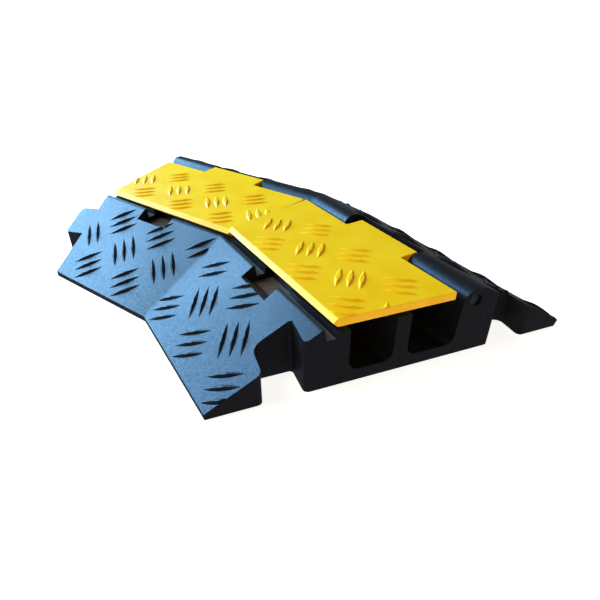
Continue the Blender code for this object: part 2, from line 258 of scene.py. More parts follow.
class CABLERAMP_PG_tread(bpy.types.PropertyGroup):
    """The raised ribs on the ramps and the lids."""

    ramp_length: FloatProperty(
        name="Ramp rib length", description="Tip to tip", default=0.035, unit="LENGTH"
    )
    ramp_width: FloatProperty(
        name="Ramp rib width", description="At its middle", default=0.0052, unit="LENGTH"
    )
    ramp_height: FloatProperty(
        name="Ramp rib height", description="Above the ramp", default=0.0018, unit="LENGTH"
    )
    ramp_spacing: FloatProperty(
        name="Ramp rib spacing", description="Between ribs of a group", default=0.0085, unit="LENGTH"
    )
    lid_length: FloatProperty(
        name="Lid rib length", description="Tip to tip", default=0.0305, unit="LENGTH"
    )
    lid_width: FloatProperty(
        name="Lid rib width", description="At its middle", default=0.0056, unit="LENGTH"
    )
    lid_height: FloatProperty(
        name="Lid rib height", description="Above the lid", default=0.0011, unit="LENGTH"
    )
    lid_spacing: FloatProperty(
        name="Lid rib spacing", description="Between ribs of a group", default=0.0078, unit="LENGTH"
    )
    ramp_crest: FloatProperty(
        name="Ramp rib crest",
        description="Share of the rib that its crest takes",
        default=0.14,
        subtype="FACTOR",
    )
    lid_crest: FloatProperty(
        name="Lid rib crest",
        description="Share of the rib that its crest takes",
        default=0.35,
        subtype="FACTOR",
    )


class CABLERAMP_PG_lids(bpy.types.PropertyGroup):
    """The two hinged lids."""

    edge_radius: FloatProperty(
        name="Edge radius", description="Rounding of the lids' edges", default=0.0005, unit="LENGTH"
    )
    plastic: FloatVectorProperty(
        name="Plastic", description="Colour of the lids", default=linear("#ECB808"), subtype="COLOR"
    )
    faded: FloatVectorProperty(
        name="Faded",
        description="Colour where the lids have faded",
        default=linear("#F0C218"),
        subtype="COLOR",
    )
    grime: FloatVectorProperty(
        name="Grime",
        description="Colour of dirt in the lids' joint",
        default=linear("#5A3C10"),
        subtype="COLOR",
    )


class CABLERAMP_PG_pins(bpy.types.PropertyGroup):
    """The hinge pins."""

    end_chamfer: FloatProperty(
        name="End chamfer", description="Chamfer at a pin's ends", default=0.0006, unit="LENGTH"
    )
    steel: FloatVectorProperty(
        name="Steel",
        description="Colour of the blackened steel",
        default=linear("#8A8A90"),
        subtype="COLOR",
    )


class CABLERAMP_PG_stage(bpy.types.PropertyGroup):
    """The floor, lights and camera."""

    window: FloatVectorProperty(
        name="Window",
        description="Colour of the tall soft window",
        default=linear("#9FDAFF"),
        subtype="COLOR",
    )
    window_power: FloatProperty(name="Window power", description="In watts", default=44.0, unit="POWER")
    key: FloatVectorProperty(
        name="Key", description="Colour of the key light", default=linear("#FFE3BC"), subtype="COLOR"
    )
    key_strength: FloatProperty(name="Key strength", description="In watts per square metre", default=1.95)
    fill: FloatVectorProperty(
        name="Fill", description="Colour of the low fill light", default=linear("#FFB56E"), subtype="COLOR"
    )
    fill_strength: FloatProperty(name="Fill strength", description="In watts per square metre", default=1.2)
    focal_length: FloatProperty(name="Focal length", description="In millimetres", default=29.06)


def arc(centre, radius, start, end, steps):
    """Points (v, z) on an arc from one angle to the other, in degrees from +v towards +z."""
    points = []
    for step in range(steps + 1):
        angle = math.radians(start + (end - start) * step / steps)
        points.append((centre[0] + radius * math.cos(angle), centre[1] + radius * math.sin(angle)))
    return points


def bar(outline, u_from, u_to):
    """A bar along a leg, with its section given as (v, z) points."""
    bm = bmesh.new()
    face = bm.faces.new([bm.verts.new((u_from, v, z)) for v, z in outline])
    run = bmesh.ops.extrude_face_region(bm, geom=[face])
    moved = [item for item in run["geom"] if isinstance(item, bmesh.types.BMVert)]
    bmesh.ops.translate(bm, vec=(u_to - u_from, 0.0, 0.0), verts=moved)
    bmesh.ops.recalc_face_normals(bm, faces=bm.faces)
    return bm


def trim(bm, point, outward, capped=True):
    """Cut away what lies beyond a plane, and close the cut."""
    geometry = bm.verts[:] + bm.edges[:] + bm.faces[:]
    cut = bmesh.ops.bisect_plane(
        bm, geom=geometry, dist=PLANE_TOLERANCE, plane_co=point, plane_no=outward, clear_outer=True
    )
    if capped:
        rim = [item for item in cut["geom_cut"] if isinstance(item, bmesh.types.BMEdge)]
        bmesh.ops.holes_fill(bm, edges=rim)


def trim_at_mitre(bm, gap, capped=True):
    """Cut a leg's shape off along the mitre, set back from it by the gap."""
    trim(bm, Vector((gap, 0.0, 0.0)), Vector((-1.0, -MITRE_SLOPE, 0.0)), capped)


def trim_at_end(bm, setback):
    """Cut a leg's shape off at its end face, or short of it by the setback."""
    trim(bm, Vector((LEG_LENGTH - setback, 0.0, 0.0)), Vector((1.0, -MITRE_SLOPE, 0.0)))


def place(bm, matrix):
    """Move a bmesh, and turn its faces outwards again where that mirrors it."""
    bmesh.ops.transform(bm, matrix=matrix, verts=bm.verts)
    bmesh.ops.recalc_face_normals(bm, faces=bm.faces)


def temporary(bm):
    """A short-lived object that holds a bmesh while shapes are cut and joined."""
    mesh = bpy.data.meshes.new("tool")
    bm.to_mesh(mesh)
    bm.free()
    item = bpy.data.objects.new("tool", mesh)
    bpy.context.scene.collection.objects.link(item)
    return item


def carve(bm, steps):
    """The bmesh after its cuts and joints, each given as an operation and the tool's bmesh."""
    item = temporary(bm)
    tools = []
    for operation, tool in steps:
        tools.append(temporary(tool))
        modifier = item.modifiers.new("carve", "BOOLEAN")
        modifier.operation = operation
        modifier.solver = "EXACT"
        modifier.object = tools[-1]
    evaluated = item.evaluated_get(bpy.context.evaluated_depsgraph_get())
    result = bmesh.new()
    result.from_mesh(evaluated.to_mesh())
    evaluated.to_mesh_clear()
    for used in [item, *tools]:
        mesh = used.data
        bpy.data.objects.remove(used, do_unlink=True)
        bpy.data.meshes.remove(mesh)
    return result


def bevel(bm, edges, width, segments):
    """Round some edges."""
    bmesh.ops.bevel(
        bm,
        geom=edges,
        offset=width,
        offset_type="OFFSET",
        segments=segments,
        profile=0.5,
        affect="EDGES",
        material=-1,
        clamp_overlap=True,
    )


def upright_edges(bm, x, y, reach):
    """The upright edges that stand within reach of a place in plan."""
    found = []
    for edge in bm.edges:
        first, second = (vert.co for vert in edge.verts)
        stands = (first - second).to_2d().length < UPRIGHT_TOLERANCE
        if stands and (first.to_2d() - Vector((x, y))).length < reach:
            found.append(edge)
    return found


def block(x_span, y_span, z_span, corner_x, radii):
    """A box whose two upright edges at corner_x are rounded, the one at the lower y first."""
    bm = bmesh.new()
    size = [high - low for low, high in (x_span, y_span, z_span)]
    middle = [(high + low) / 2.0 for low, high in (x_span, y_span, z_span)]
    bmesh.ops.create_cube(bm, size=1.0)
    bmesh.ops.scale(bm, vec=size, verts=bm.verts)
    bmesh.ops.translate(bm, vec=middle, verts=bm.verts)
    for y, radius in zip(y_span, radii):
        bevel(bm, upright_edges(bm, corner_x, y, CORNER_REACH), radius, CORNER_STEPS)
    return bm


def rod(radius, u_from, u_to, segments):
    """A cylinder on the hinge axis, in leg coordinates."""
    bm = bmesh.new()
    along_u = Matrix.Rotation(math.radians(90.0), 4, "Y")
    centre = Matrix.Translation(((u_from + u_to) / 2.0, HINGE_V, HINGE_Z))
    bmesh.ops.create_cone(
        bm,
        cap_ends=True,
        segments=segments,
        radius1=radius,
        radius2=radius,
        depth=u_to - u_from,
        matrix=centre @ along_u,
    )
    return bm


def sharp_edges(bm, angle, shortest):
    """Edges whose faces meet at more than an angle, in degrees, left out where they are very short."""
    limit = math.radians(angle)
    return [
        edge
        for edge in bm.edges
        if edge.is_manifold and edge.calc_face_angle(0.0) > limit and edge.calc_length() > shortest
    ]


def finish_piece(name, bm, body, material, nodes=()):
    """Link a finished bmesh, already in the frame, as a piece that rides on a body."""
    mesh = bpy.data.meshes.new(name)
    bm.to_mesh(mesh)
    bm.free()
    mesh.materials.append(material)
    mesh.shade_smooth()
    mesh.set_sharp_from_angle(angle=math.radians(SMOOTH_ANGLE))
    piece = bpy.data.objects.new(name, mesh)
    flat_faces = piece.modifiers.new("flat_faces", "WEIGHTED_NORMAL")
    flat_faces.keep_sharp = True
    bpy.context.scene.collection.objects.link(piece)
    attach(piece, body)
    if nodes:
        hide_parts(*nodes)
    return piece


def add_node(tree, kind, settings=None, inputs=None):
    """Add a node, with its settings, and with each input either set or linked from a socket."""
    node = tree.nodes.new(kind)
    for name, value in (settings or {}).items():
        setattr(node, name, value)
    for key, value in (inputs or {}).items():
        if isinstance(value, bpy.types.NodeSocket):
            tree.links.new(value, node.inputs[key])
        else:
            node.inputs[key].default_value = value
    return node


def per_metre(size):
    """The scale of a noise or cell pattern whose features are a size across, in millimetres."""
    return 1000.0 / size


def new_material(name):
    """A material emptied of its nodes but for the Object coordinates that its patterns read; each caller
    adds its output.
    """
    material = bpy.data.materials.get(name)
    if material:
        return material, None, None
    material = bpy.data.materials.new(name)
    material.use_nodes = True
    tree = material.node_tree
    tree.nodes.clear()
    place_on_object = add_node(tree, "ShaderNodeTexCoord").outputs["Object"]
    return material, tree, place_on_object


def moulded_rubber():
    """Vulcanised black rubber, pressed in a steel mould: a satin skin, with a painted reflection of the
    blue window light tinting its reflections blue.
    """
    settings = bpy.context.scene.cable_ramp_base
    material, tree, here = new_material("moulded_rubber")
    if tree is None:
        return material
    normal_here = here.node.outputs["Normal"]
    # Cloudy patches of dust and of painted wall reflection about 14 mm across, mottling 1.7 mm, skin grain
    # 0.9 mm, and dust specks 2.4 mm apart. The grain and the specks of the real skin are finer, and are
    # this coarse so as to show.
    cloud = add_node(
        tree,
        "ShaderNodeTexNoise",
        inputs={"Vector": here, "Scale": per_metre(14.3), "Detail": 4.0, "Roughness": 0.6},
    ).outputs["Fac"]
    grain = add_node(
        tree,
        "ShaderNodeTexNoise",
        inputs={"Vector": here, "Scale": per_metre(0.91), "Detail": 3.0, "Roughness": 0.65},
    ).outputs["Fac"]
    specks = add_node(
        tree, "ShaderNodeTexVoronoi", inputs={"Vector": here, "Scale": per_metre(2.38), "Randomness": 1.0}
    ).outputs["Distance"]
    mottle = add_node(
        tree,
        "ShaderNodeTexNoise",
        inputs={"Vector": here, "Scale": per_metre(1.67), "Detail": 3.0, "Roughness": 0.6},
    ).outputs["Fac"]
    dusty = add_node(
        tree,
        "ShaderNodeMapRange",
        inputs={"Value": cloud, "From Min": 0.42, "From Max": 0.7, "To Min": 0.0, "To Max": 0.4},
    ).outputs["Result"]
    facing_axes = add_node(tree, "ShaderNodeSeparateXYZ", inputs={"Vector": normal_here})
    facing = facing_axes.outputs["Z"]
    # Surfaces facing the rear, the far ramps, are lightened towards the dust colour: a painted reflection
    # of a warm wall.
    painted_wall_reflection = add_node(
        tree,
        "ShaderNodeMapRange",
        inputs={
            "Value": facing_axes.outputs["Y"],
            "From Min": 0.3,
            "From Max": 0.45,
            "To Min": 0.0,
            "To Max": 0.5,
        },
    ).outputs["Result"]
    axes = add_node(tree, "ShaderNodeSeparateXYZ", inputs={"Vector": here})
    height = axes.outputs["Z"]
    # Painted shade in the reflections: they are made weaker beside the mitre on leg A, and out along leg B.
    painted_reflection_shade_a = add_node(
        tree,
        "ShaderNodeMapRange",
        inputs={
            "Value": axes.outputs["X"],
            "From Min": -0.07,
            "From Max": 0.0,
            "To Min": 0.5,
            "To Max": 0.26,
        },
    ).outputs["Result"]
    painted_reflection_shade_b = add_node(
        tree,
        "ShaderNodeMapRange",
        inputs={
            "Value": axes.outputs["X"],
            "From Min": 0.0,
            "From Max": 0.07,
            "To Min": 0.55,
            "To Max": 0.4,
        },
    ).outputs["Result"]
    on_b = add_node(
        tree,
        "ShaderNodeMapRange",
        inputs={
            "Value": axes.outputs["X"],
            "From Min": -0.002,
            "From Max": 0.002,
            "To Min": 0.0,
            "To Max": 1.0,
        },
    ).outputs["Result"]
    painted_reflection_level = add_node(tree, "ShaderNodeMix", inputs={0: on_b, 2: painted_reflection_shade_a, 3: painted_reflection_shade_b}).outputs[0]
    sunken = add_node(
        tree, "ShaderNodeMath", {"operation": "COMPARE"}, {0: height, 1: 0.0345, 2: 0.0032}
    ).outputs["Value"]
    upward = add_node(
        tree,
        "ShaderNodeMapRange",
        inputs={"Value": facing, "From Min": 0.92, "From Max": 0.97, "To Min": 0.0, "To Max": 0.6},
    ).outputs["Result"]
    level = add_node(
        tree, "ShaderNodeMath", {"operation": "MULTIPLY"}, {0: sunken, 1: upward}
    ).outputs["Value"]
    # Painted wall reflection on rear-facing surfaces in cloudy patches, plus dust on the level floors of
    # the recesses.
    settled_dust_and_reflection = add_node(
        tree, "ShaderNodeMath", {"operation": "MULTIPLY_ADD"}, {0: painted_wall_reflection, 1: cloud, 2: level}
    ).outputs["Value"]
    speck = add_node(
        tree,
        "ShaderNodeMapRange",
        inputs={"Value": specks, "From Min": 0.10, "From Max": 0.16, "To Min": 0.6, "To Max": 0.0},
    ).outputs["Result"]
    dust_and_painted_reflection = add_node(
        tree,
        "ShaderNodeMath",
        {"operation": "MULTIPLY_ADD", "use_clamp": True},
        {0: speck, 1: dusty, 2: settled_dust_and_reflection},
    ).outputs["Value"]
    colour = add_node(
        tree,
        "ShaderNodeMix",
        {"data_type": "RGBA"},
        {0: dust_and_painted_reflection, 6: (*settings.rubber, 1.0), 7: (*settings.dust_and_reflection, 1.0)},
    )
    roughness = add_node(
        tree,
        "ShaderNodeMapRange",
        inputs={"Value": mottle, "From Min": 0.3, "From Max": 0.7, "To Min": 0.27, "To Max": 0.52},
    ).outputs["Result"]
    skin = add_node(
        tree, "ShaderNodeBump", inputs={"Strength": 0.5, "Distance": 0.00022, "Height": grain}
    ).outputs["Normal"]
    waves = add_node(
        tree,
        "ShaderNodeBump",
        inputs={"Strength": 0.4, "Distance": 0.0002, "Height": cloud, "Normal": skin},
    ).outputs["Normal"]
    # The Specular Tint paints the blue window light into the rubber's reflections, and the Specular IOR
    # Level paints shade into them by place.
    shader = add_node(
        tree,
        "ShaderNodeBsdfPrincipled",
        inputs={
            "Base Color": colour.outputs[2],
            "Roughness": roughness,
            "IOR": 1.52,
            "Specular IOR Level": painted_reflection_level,
            "Specular Tint": (*settings.painted_reflection_tint, 1.0),
            "Normal": waves,
        },
    ).outputs["BSDF"]
    add_node(tree, "ShaderNodeOutputMaterial", inputs={"Surface": shader})
    return material


def moulded_polyethylene():
    """Injection-moulded yellow polyethylene: opaque and waxy, with a slight orange peel."""
    settings = bpy.context.scene.cable_ramp_lids
    material, tree, here = new_material("moulded_polyethylene")
    if tree is None:
        return material
    # Fading in patches about 25 mm across, orange peel about 2 mm, and handling marks about 5 mm.
    patches = add_node(
        tree,
        "ShaderNodeTexNoise",
        inputs={"Vector": here, "Scale": per_metre(25.0), "Detail": 3.0, "Roughness": 0.55},
    ).outputs["Fac"]
    peel = add_node(
        tree,
        "ShaderNodeTexNoise",
        inputs={"Vector": here, "Scale": per_metre(2.08), "Detail": 2.0, "Roughness": 0.5},
    ).outputs["Fac"]
    marks = add_node(
        tree,
        "ShaderNodeTexNoise",
        inputs={"Vector": here, "Scale": per_metre(4.76), "Detail": 5.0, "Roughness": 0.7},
    ).outputs["Fac"]
    # Grime along the rear half of the joint between the lids, ragged at a scale of 5 mm.
    axes = add_node(tree, "ShaderNodeSeparateXYZ", inputs={"Vector": here})
    aside = add_node(
        tree, "ShaderNodeMath", {"operation": "ABSOLUTE"}, {0: axes.outputs["X"]}
    ).outputs["Value"]
    ragged = add_node(
        tree, "ShaderNodeMath", {"operation": "MULTIPLY_ADD"}, {0: marks, 1: -0.004, 2: aside}
    ).outputs["Value"]
    joint = add_node(
        tree,
        "ShaderNodeMapRange",
        inputs={"Value": ragged, "From Min": -0.0014, "From Max": -0.0006, "To Min": 0.8, "To Max": 0.0},
    ).outputs["Result"]
    rear = add_node(
        tree,
        "ShaderNodeMapRange",
        inputs={
            "Value": axes.outputs["Y"],
            "From Min": 0.004,
            "From Max": 0.014,
            "To Min": 0.0,
            "To Max": 1.0,
        },
    ).outputs["Result"]
    grimy = add_node(
        tree, "ShaderNodeMath", {"operation": "MULTIPLY"}, {0: joint, 1: rear}
    ).outputs["Value"]
    faded = add_node(
        tree,
        "ShaderNodeMapRange",
        inputs={"Value": patches, "From Min": 0.35, "From Max": 0.65, "To Min": 0.0, "To Max": 1.0},
    ).outputs["Result"]
    colour = add_node(
        tree,
        "ShaderNodeMix",
        {"data_type": "RGBA"},
        {0: faded, 6: (*settings.plastic, 1.0), 7: (*settings.faded, 1.0)},
    )
    soiled = add_node(
        tree,
        "ShaderNodeMix",
        {"data_type": "RGBA"},
        {0: grimy, 6: colour.outputs[2], 7: (*settings.grime, 1.0)},
    )
    roughness = add_node(
        tree,
        "ShaderNodeMapRange",
        inputs={"Value": marks, "From Min": 0.3, "From Max": 0.7, "To Min": 0.3, "To Max": 0.42},
    ).outputs["Result"]
    skin = add_node(
        tree, "ShaderNodeBump", inputs={"Strength": 0.25, "Distance": 0.0002, "Height": peel}
    ).outputs["Normal"]
    shader = add_node(
        tree,
        "ShaderNodeBsdfPrincipled",
        inputs={
            "Base Color": soiled.outputs[2],
            "Roughness": roughness,
            "IOR": 1.52,
            "Specular IOR Level": 0.2,
            "Normal": skin,
        },
    ).outputs["BSDF"]
    add_node(tree, "ShaderNodeOutputMaterial", inputs={"Surface": shader})
    return material


def blackened_steel():
    """Drawn steel rod with a black oxide finish: dark and satin, with faint mottling."""
    settings = bpy.context.scene.cable_ramp_pins
    material, tree, here = new_material("blackened_steel")
    if tree is None:
        return material
    # Oxide mottling about 2 mm across.
    mottle = add_node(
        tree,
        "ShaderNodeTexNoise",
        inputs={"Vector": here, "Scale": per_metre(2.0), "Detail": 4.0, "Roughness": 0.6},
    ).outputs["Fac"]
    roughness = add_node(
        tree,
        "ShaderNodeMapRange",
        inputs={"Value": mottle, "From Min": 0.3, "From Max": 0.7, "To Min": 0.35, "To Max": 0.55},
    ).outputs["Result"]
    worn = tuple(level * 0.6 for level in settings.steel)
    colour = add_node(
        tree,
        "ShaderNodeMix",
        {"data_type": "RGBA"},
        {0: mottle, 6: (*settings.steel, 1.0), 7: (*worn, 1.0)},
    )
    skin = add_node(
        tree, "ShaderNodeBump", inputs={"Strength": 0.2, "Distance": 0.0001, "Height": mottle}
    ).outputs["Normal"]
    shader = add_node(
        tree,
        "ShaderNodeBsdfPrincipled",
        inputs={"Base Color": colour.outputs[2], "Metallic": 1.0, "Roughness": roughness, "Normal": skin},
    ).outputs["BSDF"]
    add_node(tree, "ShaderNodeOutputMaterial", inputs={"Surface": shader})
    return material


def painted_board():
    """Matt white painted board, the studio floor: even and pale."""
    material, tree, here = new_material("painted_board")
    if tree is None:
        return material
    roller = add_node(
        tree, "ShaderNodeTexNoise", inputs={"Vector": here, "Scale": per_metre(3.33), "Detail": 2.0}
    ).outputs["Fac"]
    skin = add_node(
        tree, "ShaderNodeBump", inputs={"Strength": 0.05, "Distance": 0.0002, "Height": roller}
    ).outputs["Normal"]
    shader = add_node(
        tree,
        "ShaderNodeBsdfPrincipled",
        inputs={
            "Base Color": (*linear("#BDBCBA"), 1.0),
            "Roughness": 0.9,
            "Emission Color": (*linear("#FFFEFC"), 1.0),
            "Emission Strength": 0.89,
            "Normal": skin,
        },
    ).outputs["BSDF"]
    add_node(tree, "ShaderNodeOutputMaterial", inputs={"Surface": shader})
    return material


def channel_outline(span, steps):
    """A channel from its left rim down, across its floor and up to its right rim."""
    r = CHANNEL_FILLET
    left = arc((span[0] + r, CHANNEL_FLOOR + r), r, 180.0, 270.0, steps)
    right = arc((span[1] - r, CHANNEL_FLOOR + r), r, 270.0, 360.0, steps)
    return left + right


def far_ramp_z(v):
    """The height of the far ramp at a place across the leg."""
    return SHOULDER_TOP - math.tan(math.radians(FAR_SLOPE)) * (v - SHOULDER_V)


def base_outline(steps):
    """The section of the base across a leg, from the near toe over the channels to the far toe."""
    foot = RIDGE_V - LAND_WIDTH
    ridge = [
        (-TOE_V, 0.0),
        (-TOE_V, TOE_TOP),
        (foot - CREASE_WIDTH, RIDGE_TOP - CREASE_WIDTH * RAMP_RISE),
        (foot - CREASE_WIDTH / 2.0, RIDGE_TOP - CREASE_DEPTH - CREASE_WIDTH * RAMP_RISE),
        (foot, RIDGE_TOP),
        (RIDGE_V, RIDGE_TOP),
        (GROOVE_V[0], GROOVE_FLOOR),
        (GROOVE_V[1], GROOVE_FLOOR),
        (SEAT_V, SEAT_TOP),
        (CHANNEL_1[0], SEAT_TOP),
    ]
    divider = [(CHANNEL_1[1], DIVIDER_TOP), (CHANNEL_2[0], DIVIDER_TOP)]
    barrel = arc((HINGE_V, HINGE_Z), BARREL_R, BARREL_START, 90.0, 2 * steps)
    nose_top = far_ramp_z(FAR_NOSE_V)
    far_ramp = [
        (SHOULDER_V, SHOULDER_TOP),
        (FAR_NOSE_V - NOSE_ROUND, far_ramp_z(FAR_NOSE_V - NOSE_ROUND)),
        (FAR_NOSE_V - NOSE_ROUND / 4.0, nose_top - NOSE_ROUND / 8.0),
        (FAR_NOSE_V, nose_top - NOSE_ROUND / 2.0),
        (FAR_FOOT_V, 0.0),
    ]
    first = channel_outline(CHANNEL_1, steps)
    second = channel_outline(CHANNEL_2, steps)
    return ridge + first + divider + second + barrel + far_ramp


def surface_frame(top_v, top_z, facing, angle):
    """A tread surface of a leg, from its top edge: x along the leg, y towards the hinge, z out of it."""
    tilt = math.radians(angle)
    normal = Vector((0.0, facing * math.sin(tilt), math.cos(tilt)))
    along = Vector((1.0, 0.0, 0.0))
    axes = Matrix((along, normal.cross(along), normal)).transposed().to_4x4()
    return Matrix.Translation((0.0, top_v, top_z)) @ axes


def near_ramp_frame():
    return surface_frame(RIDGE_V - LAND_WIDTH, RIDGE_TOP, -1.0, RAMP_SLOPE)


def far_ramp_frame():
    return surface_frame(SHOULDER_V, SHOULDER_TOP, 1.0, FAR_SLOPE)


def finger_slot():
    """The scoop in front of a lid's nose: its outer lip rolls down into the floor."""
    ramp_at_lip = RIDGE_TOP + RAMP_RISE * (SLOT_LIP_V - RIDGE_V + LAND_WIDTH)
    outline = [
        (SLOT_LIP_V, OPEN_SKY),
        (SLOT_LIP_V, ramp_at_lip),
        *[(SLOT_LIP_V + run, ramp_at_lip - drop) for run, drop in SLOT_LIP_ROLL],
        (SLOT_DROP_V, SLOT_FLOOR + SLOT_FOOT_RISE),
        (SLOT_DROP_V + SLOT_FOOT_RUN, SLOT_FLOOR + SLOT_FOOT_LIFT),
        (SLOT_FLOOR_V, SLOT_FLOOR),
        (SLOT_INNER_V, SLOT_FLOOR),
        (SLOT_INNER_V, OPEN_SKY),
    ]
    return bar(outline, *SLOT_SPAN)


def tab_recess(leg, steps):
    """The pocket between the barrels that a lid's hinge tab turns in."""
    depth = math.degrees(math.asin((HINGE_Z - RECESS_FLOOR) / RECESS_R))
    outline = [
        (LID_REAR_V - BARREL_R, RECESS_FLOOR),
        *arc((HINGE_V, HINGE_Z), RECESS_R, 180.0 + depth, 360.0, 2 * steps),
        (RECESS_BACK, HINGE_Z),
        (RECESS_BACK, OPEN_SKY),
        (LID_REAR_V - BARREL_R, OPEN_SKY),
    ]
    return bar(outline, *RECESS_SPAN[leg])


def placed(bm, matrix):
    """The same bmesh once it is moved."""
    place(bm, matrix)
    return bm


def notch(centre):
    """A coupling notch of end B, from a centre along the end face."""
    half = NOTCH_WIDTH / 2.0
    radii = (NOTCH_OUTER_R, NOTCH_INNER_R) if centre < 0.0 else (NOTCH_INNER_R, NOTCH_OUTER_R)
    across = (centre - half, centre + half)
    return block((-NOTCH_DEPTH, NOTCH_DEPTH), across, (-OVERLENGTH, OVERLENGTH), -NOTCH_DEPTH, radii)


def lug(centre):
    """A lug of end A, topped off a little below its ramp."""
    half = LUG_WIDTH / 2.0
    near = centre < 0.0
    radii = (LUG_OUTER_R, LUG_INNER_R) if near else (LUG_INNER_R, LUG_OUTER_R)
    bm = block((-LUG_ROOT, LUG_LENGTH), (centre - half, centre + half), (0.0, RIDGE_TOP), LUG_LENGTH, radii)
    bmesh.ops.transform(bm, matrix=leg_matrix(1.0).inverted() @ end_matrix(1.0), verts=bm.verts)
    ramp = near_ramp_frame() if near else far_ramp_frame()
    normal = ramp.col[2].to_3d()
    trim(bm, ramp.translation - normal * LUG_DROP, normal)
    return bm


class CABLERAMP_OT_base(bpy.types.Operator):
    """Build the rubber base moulding of both legs"""

    bl_idname = "cable_ramp.base"
    bl_label = "Base moulding"

    def execute(self, context):
        settings = context.scene.cable_ramp_base
        bm = bar(base_outline(settings.arc_steps), -OVERLENGTH, LEG_LENGTH + OVERLENGTH)
        trim_at_mitre(bm, 0.0, capped=False)
        trim_at_end(bm, 0.0)
        place(bm, leg_matrix(1.0))
        leg_b = bm.verts[:] + bm.edges[:] + bm.faces[:]
        bmesh.ops.mirror(bm, geom=leg_b, merge_dist=MIRROR_MERGE, axis="X")
        bmesh.ops.remove_doubles(bm, verts=bm.verts, dist=FINE_MERGE)
        bmesh.ops.recalc_face_normals(bm, faces=bm.faces)
        steps = []
        for centre in NOTCH_CENTRES:
            steps.append(("UNION", placed(lug(centre), leg_matrix(-1.0))))
            steps.append(("DIFFERENCE", placed(notch(centre), end_matrix(1.0))))
        for leg, side in SIDES.items():
            bore = rod(BORE_R, BORE_START, LEG_LENGTH + OVERLENGTH, 6 * settings.arc_steps)
            for tool in (tab_recess(leg, settings.arc_steps), finger_slot(), bore):
                steps.append(("DIFFERENCE", placed(tool, leg_matrix(side))))
        bm = carve(bm, steps)
        bmesh.ops.remove_doubles(bm, verts=bm.verts, dist=CUT_MERGE)
        for centre in NOTCH_CENTRES:
            for edge_of_notch in (-NOTCH_WIDTH / 2.0, NOTCH_WIDTH / 2.0):
                mouth = end_matrix(1.0) @ Vector((0.0, centre + edge_of_notch, 0.0))
                bevel(bm, upright_edges(bm, mouth.x, mouth.y, CORNER_REACH), MOUTH_R, MOUTH_STEPS)
        outer_edges = sharp_edges(bm, BEVEL_ANGLE, SHORTEST_BASE_EDGE)
        bevel(bm, outer_edges, settings.edge_radius, settings.edge_segments)
        finish_piece("base_moulding", bm, "base", moulded_rubber(), ["base"])
        return {"FINISHED"}


def rib_mesh(length, width, height, crest, rounding):
    """One lens-shaped rib: a low frustum with a rounded rim, drawn in to a point at each end."""
    bm = bmesh.new()
    bmesh.ops.create_cone(
        bm, cap_ends=True, segments=RIB_SEGMENTS, radius1=1.0, radius2=crest, depth=height + RIB_ROOT
    )
    bmesh.ops.translate(bm, verts=bm.verts, vec=(0.0, 0.0, (height - RIB_ROOT) / 2.0))
    for vert in bm.verts:
        vert.co.x *= length / 2.0
        vert.co.y *= width / 2.0 * math.sqrt(max(0.0, 1.0 - (2.0 * vert.co.x / length) ** 2))
    rim = [edge for edge in bm.edges if min(vert.co.z for vert in edge.verts) > 0.0]
    bevel(bm, rim, height * rounding, EDGE_STEPS)
    bmesh.ops.recalc_face_normals(bm, faces=bm.faces)
    mesh = bpy.data.meshes.new("rib")
    bm.to_mesh(mesh)
    bm.free()
    return mesh


def tread(surface, rib, spacing, first_y, row_step, first_u, step, turns, margins, end_margins):
    """Groups of three ribs on a chequered grid, turned by turns in even and odd rows."""
    bm = bmesh.new()
    for row in range(TREAD_ROWS):
        odd = row % 2
        y = first_y + row * row_step
        u = first_u - odd * step
        while u < LEG_LENGTH + step:
            turned = Matrix.Rotation(math.radians(turns[odd]), 4, "Z")
            group = surface @ Matrix.Translation((u, y, 0.0)) @ turned
            for across in (-spacing, 0.0, spacing):
                matrix = group @ Matrix.Translation((0.0, across, 0.0))
                middle = matrix.translation
                from_mitre = middle.x + MITRE_SLOPE * middle.y
                from_end = LEG_LENGTH + MITRE_SLOPE * middle.y - middle.x
                if from_mitre < margins[row] or from_end < end_margins[row]:
                    continue
                count = len(bm.verts)
                bm.from_mesh(rib)
                bm.verts.ensure_lookup_table()
                bmesh.ops.transform(bm, matrix=matrix, verts=bm.verts[count:])
            u += 2.0 * step
    return bm


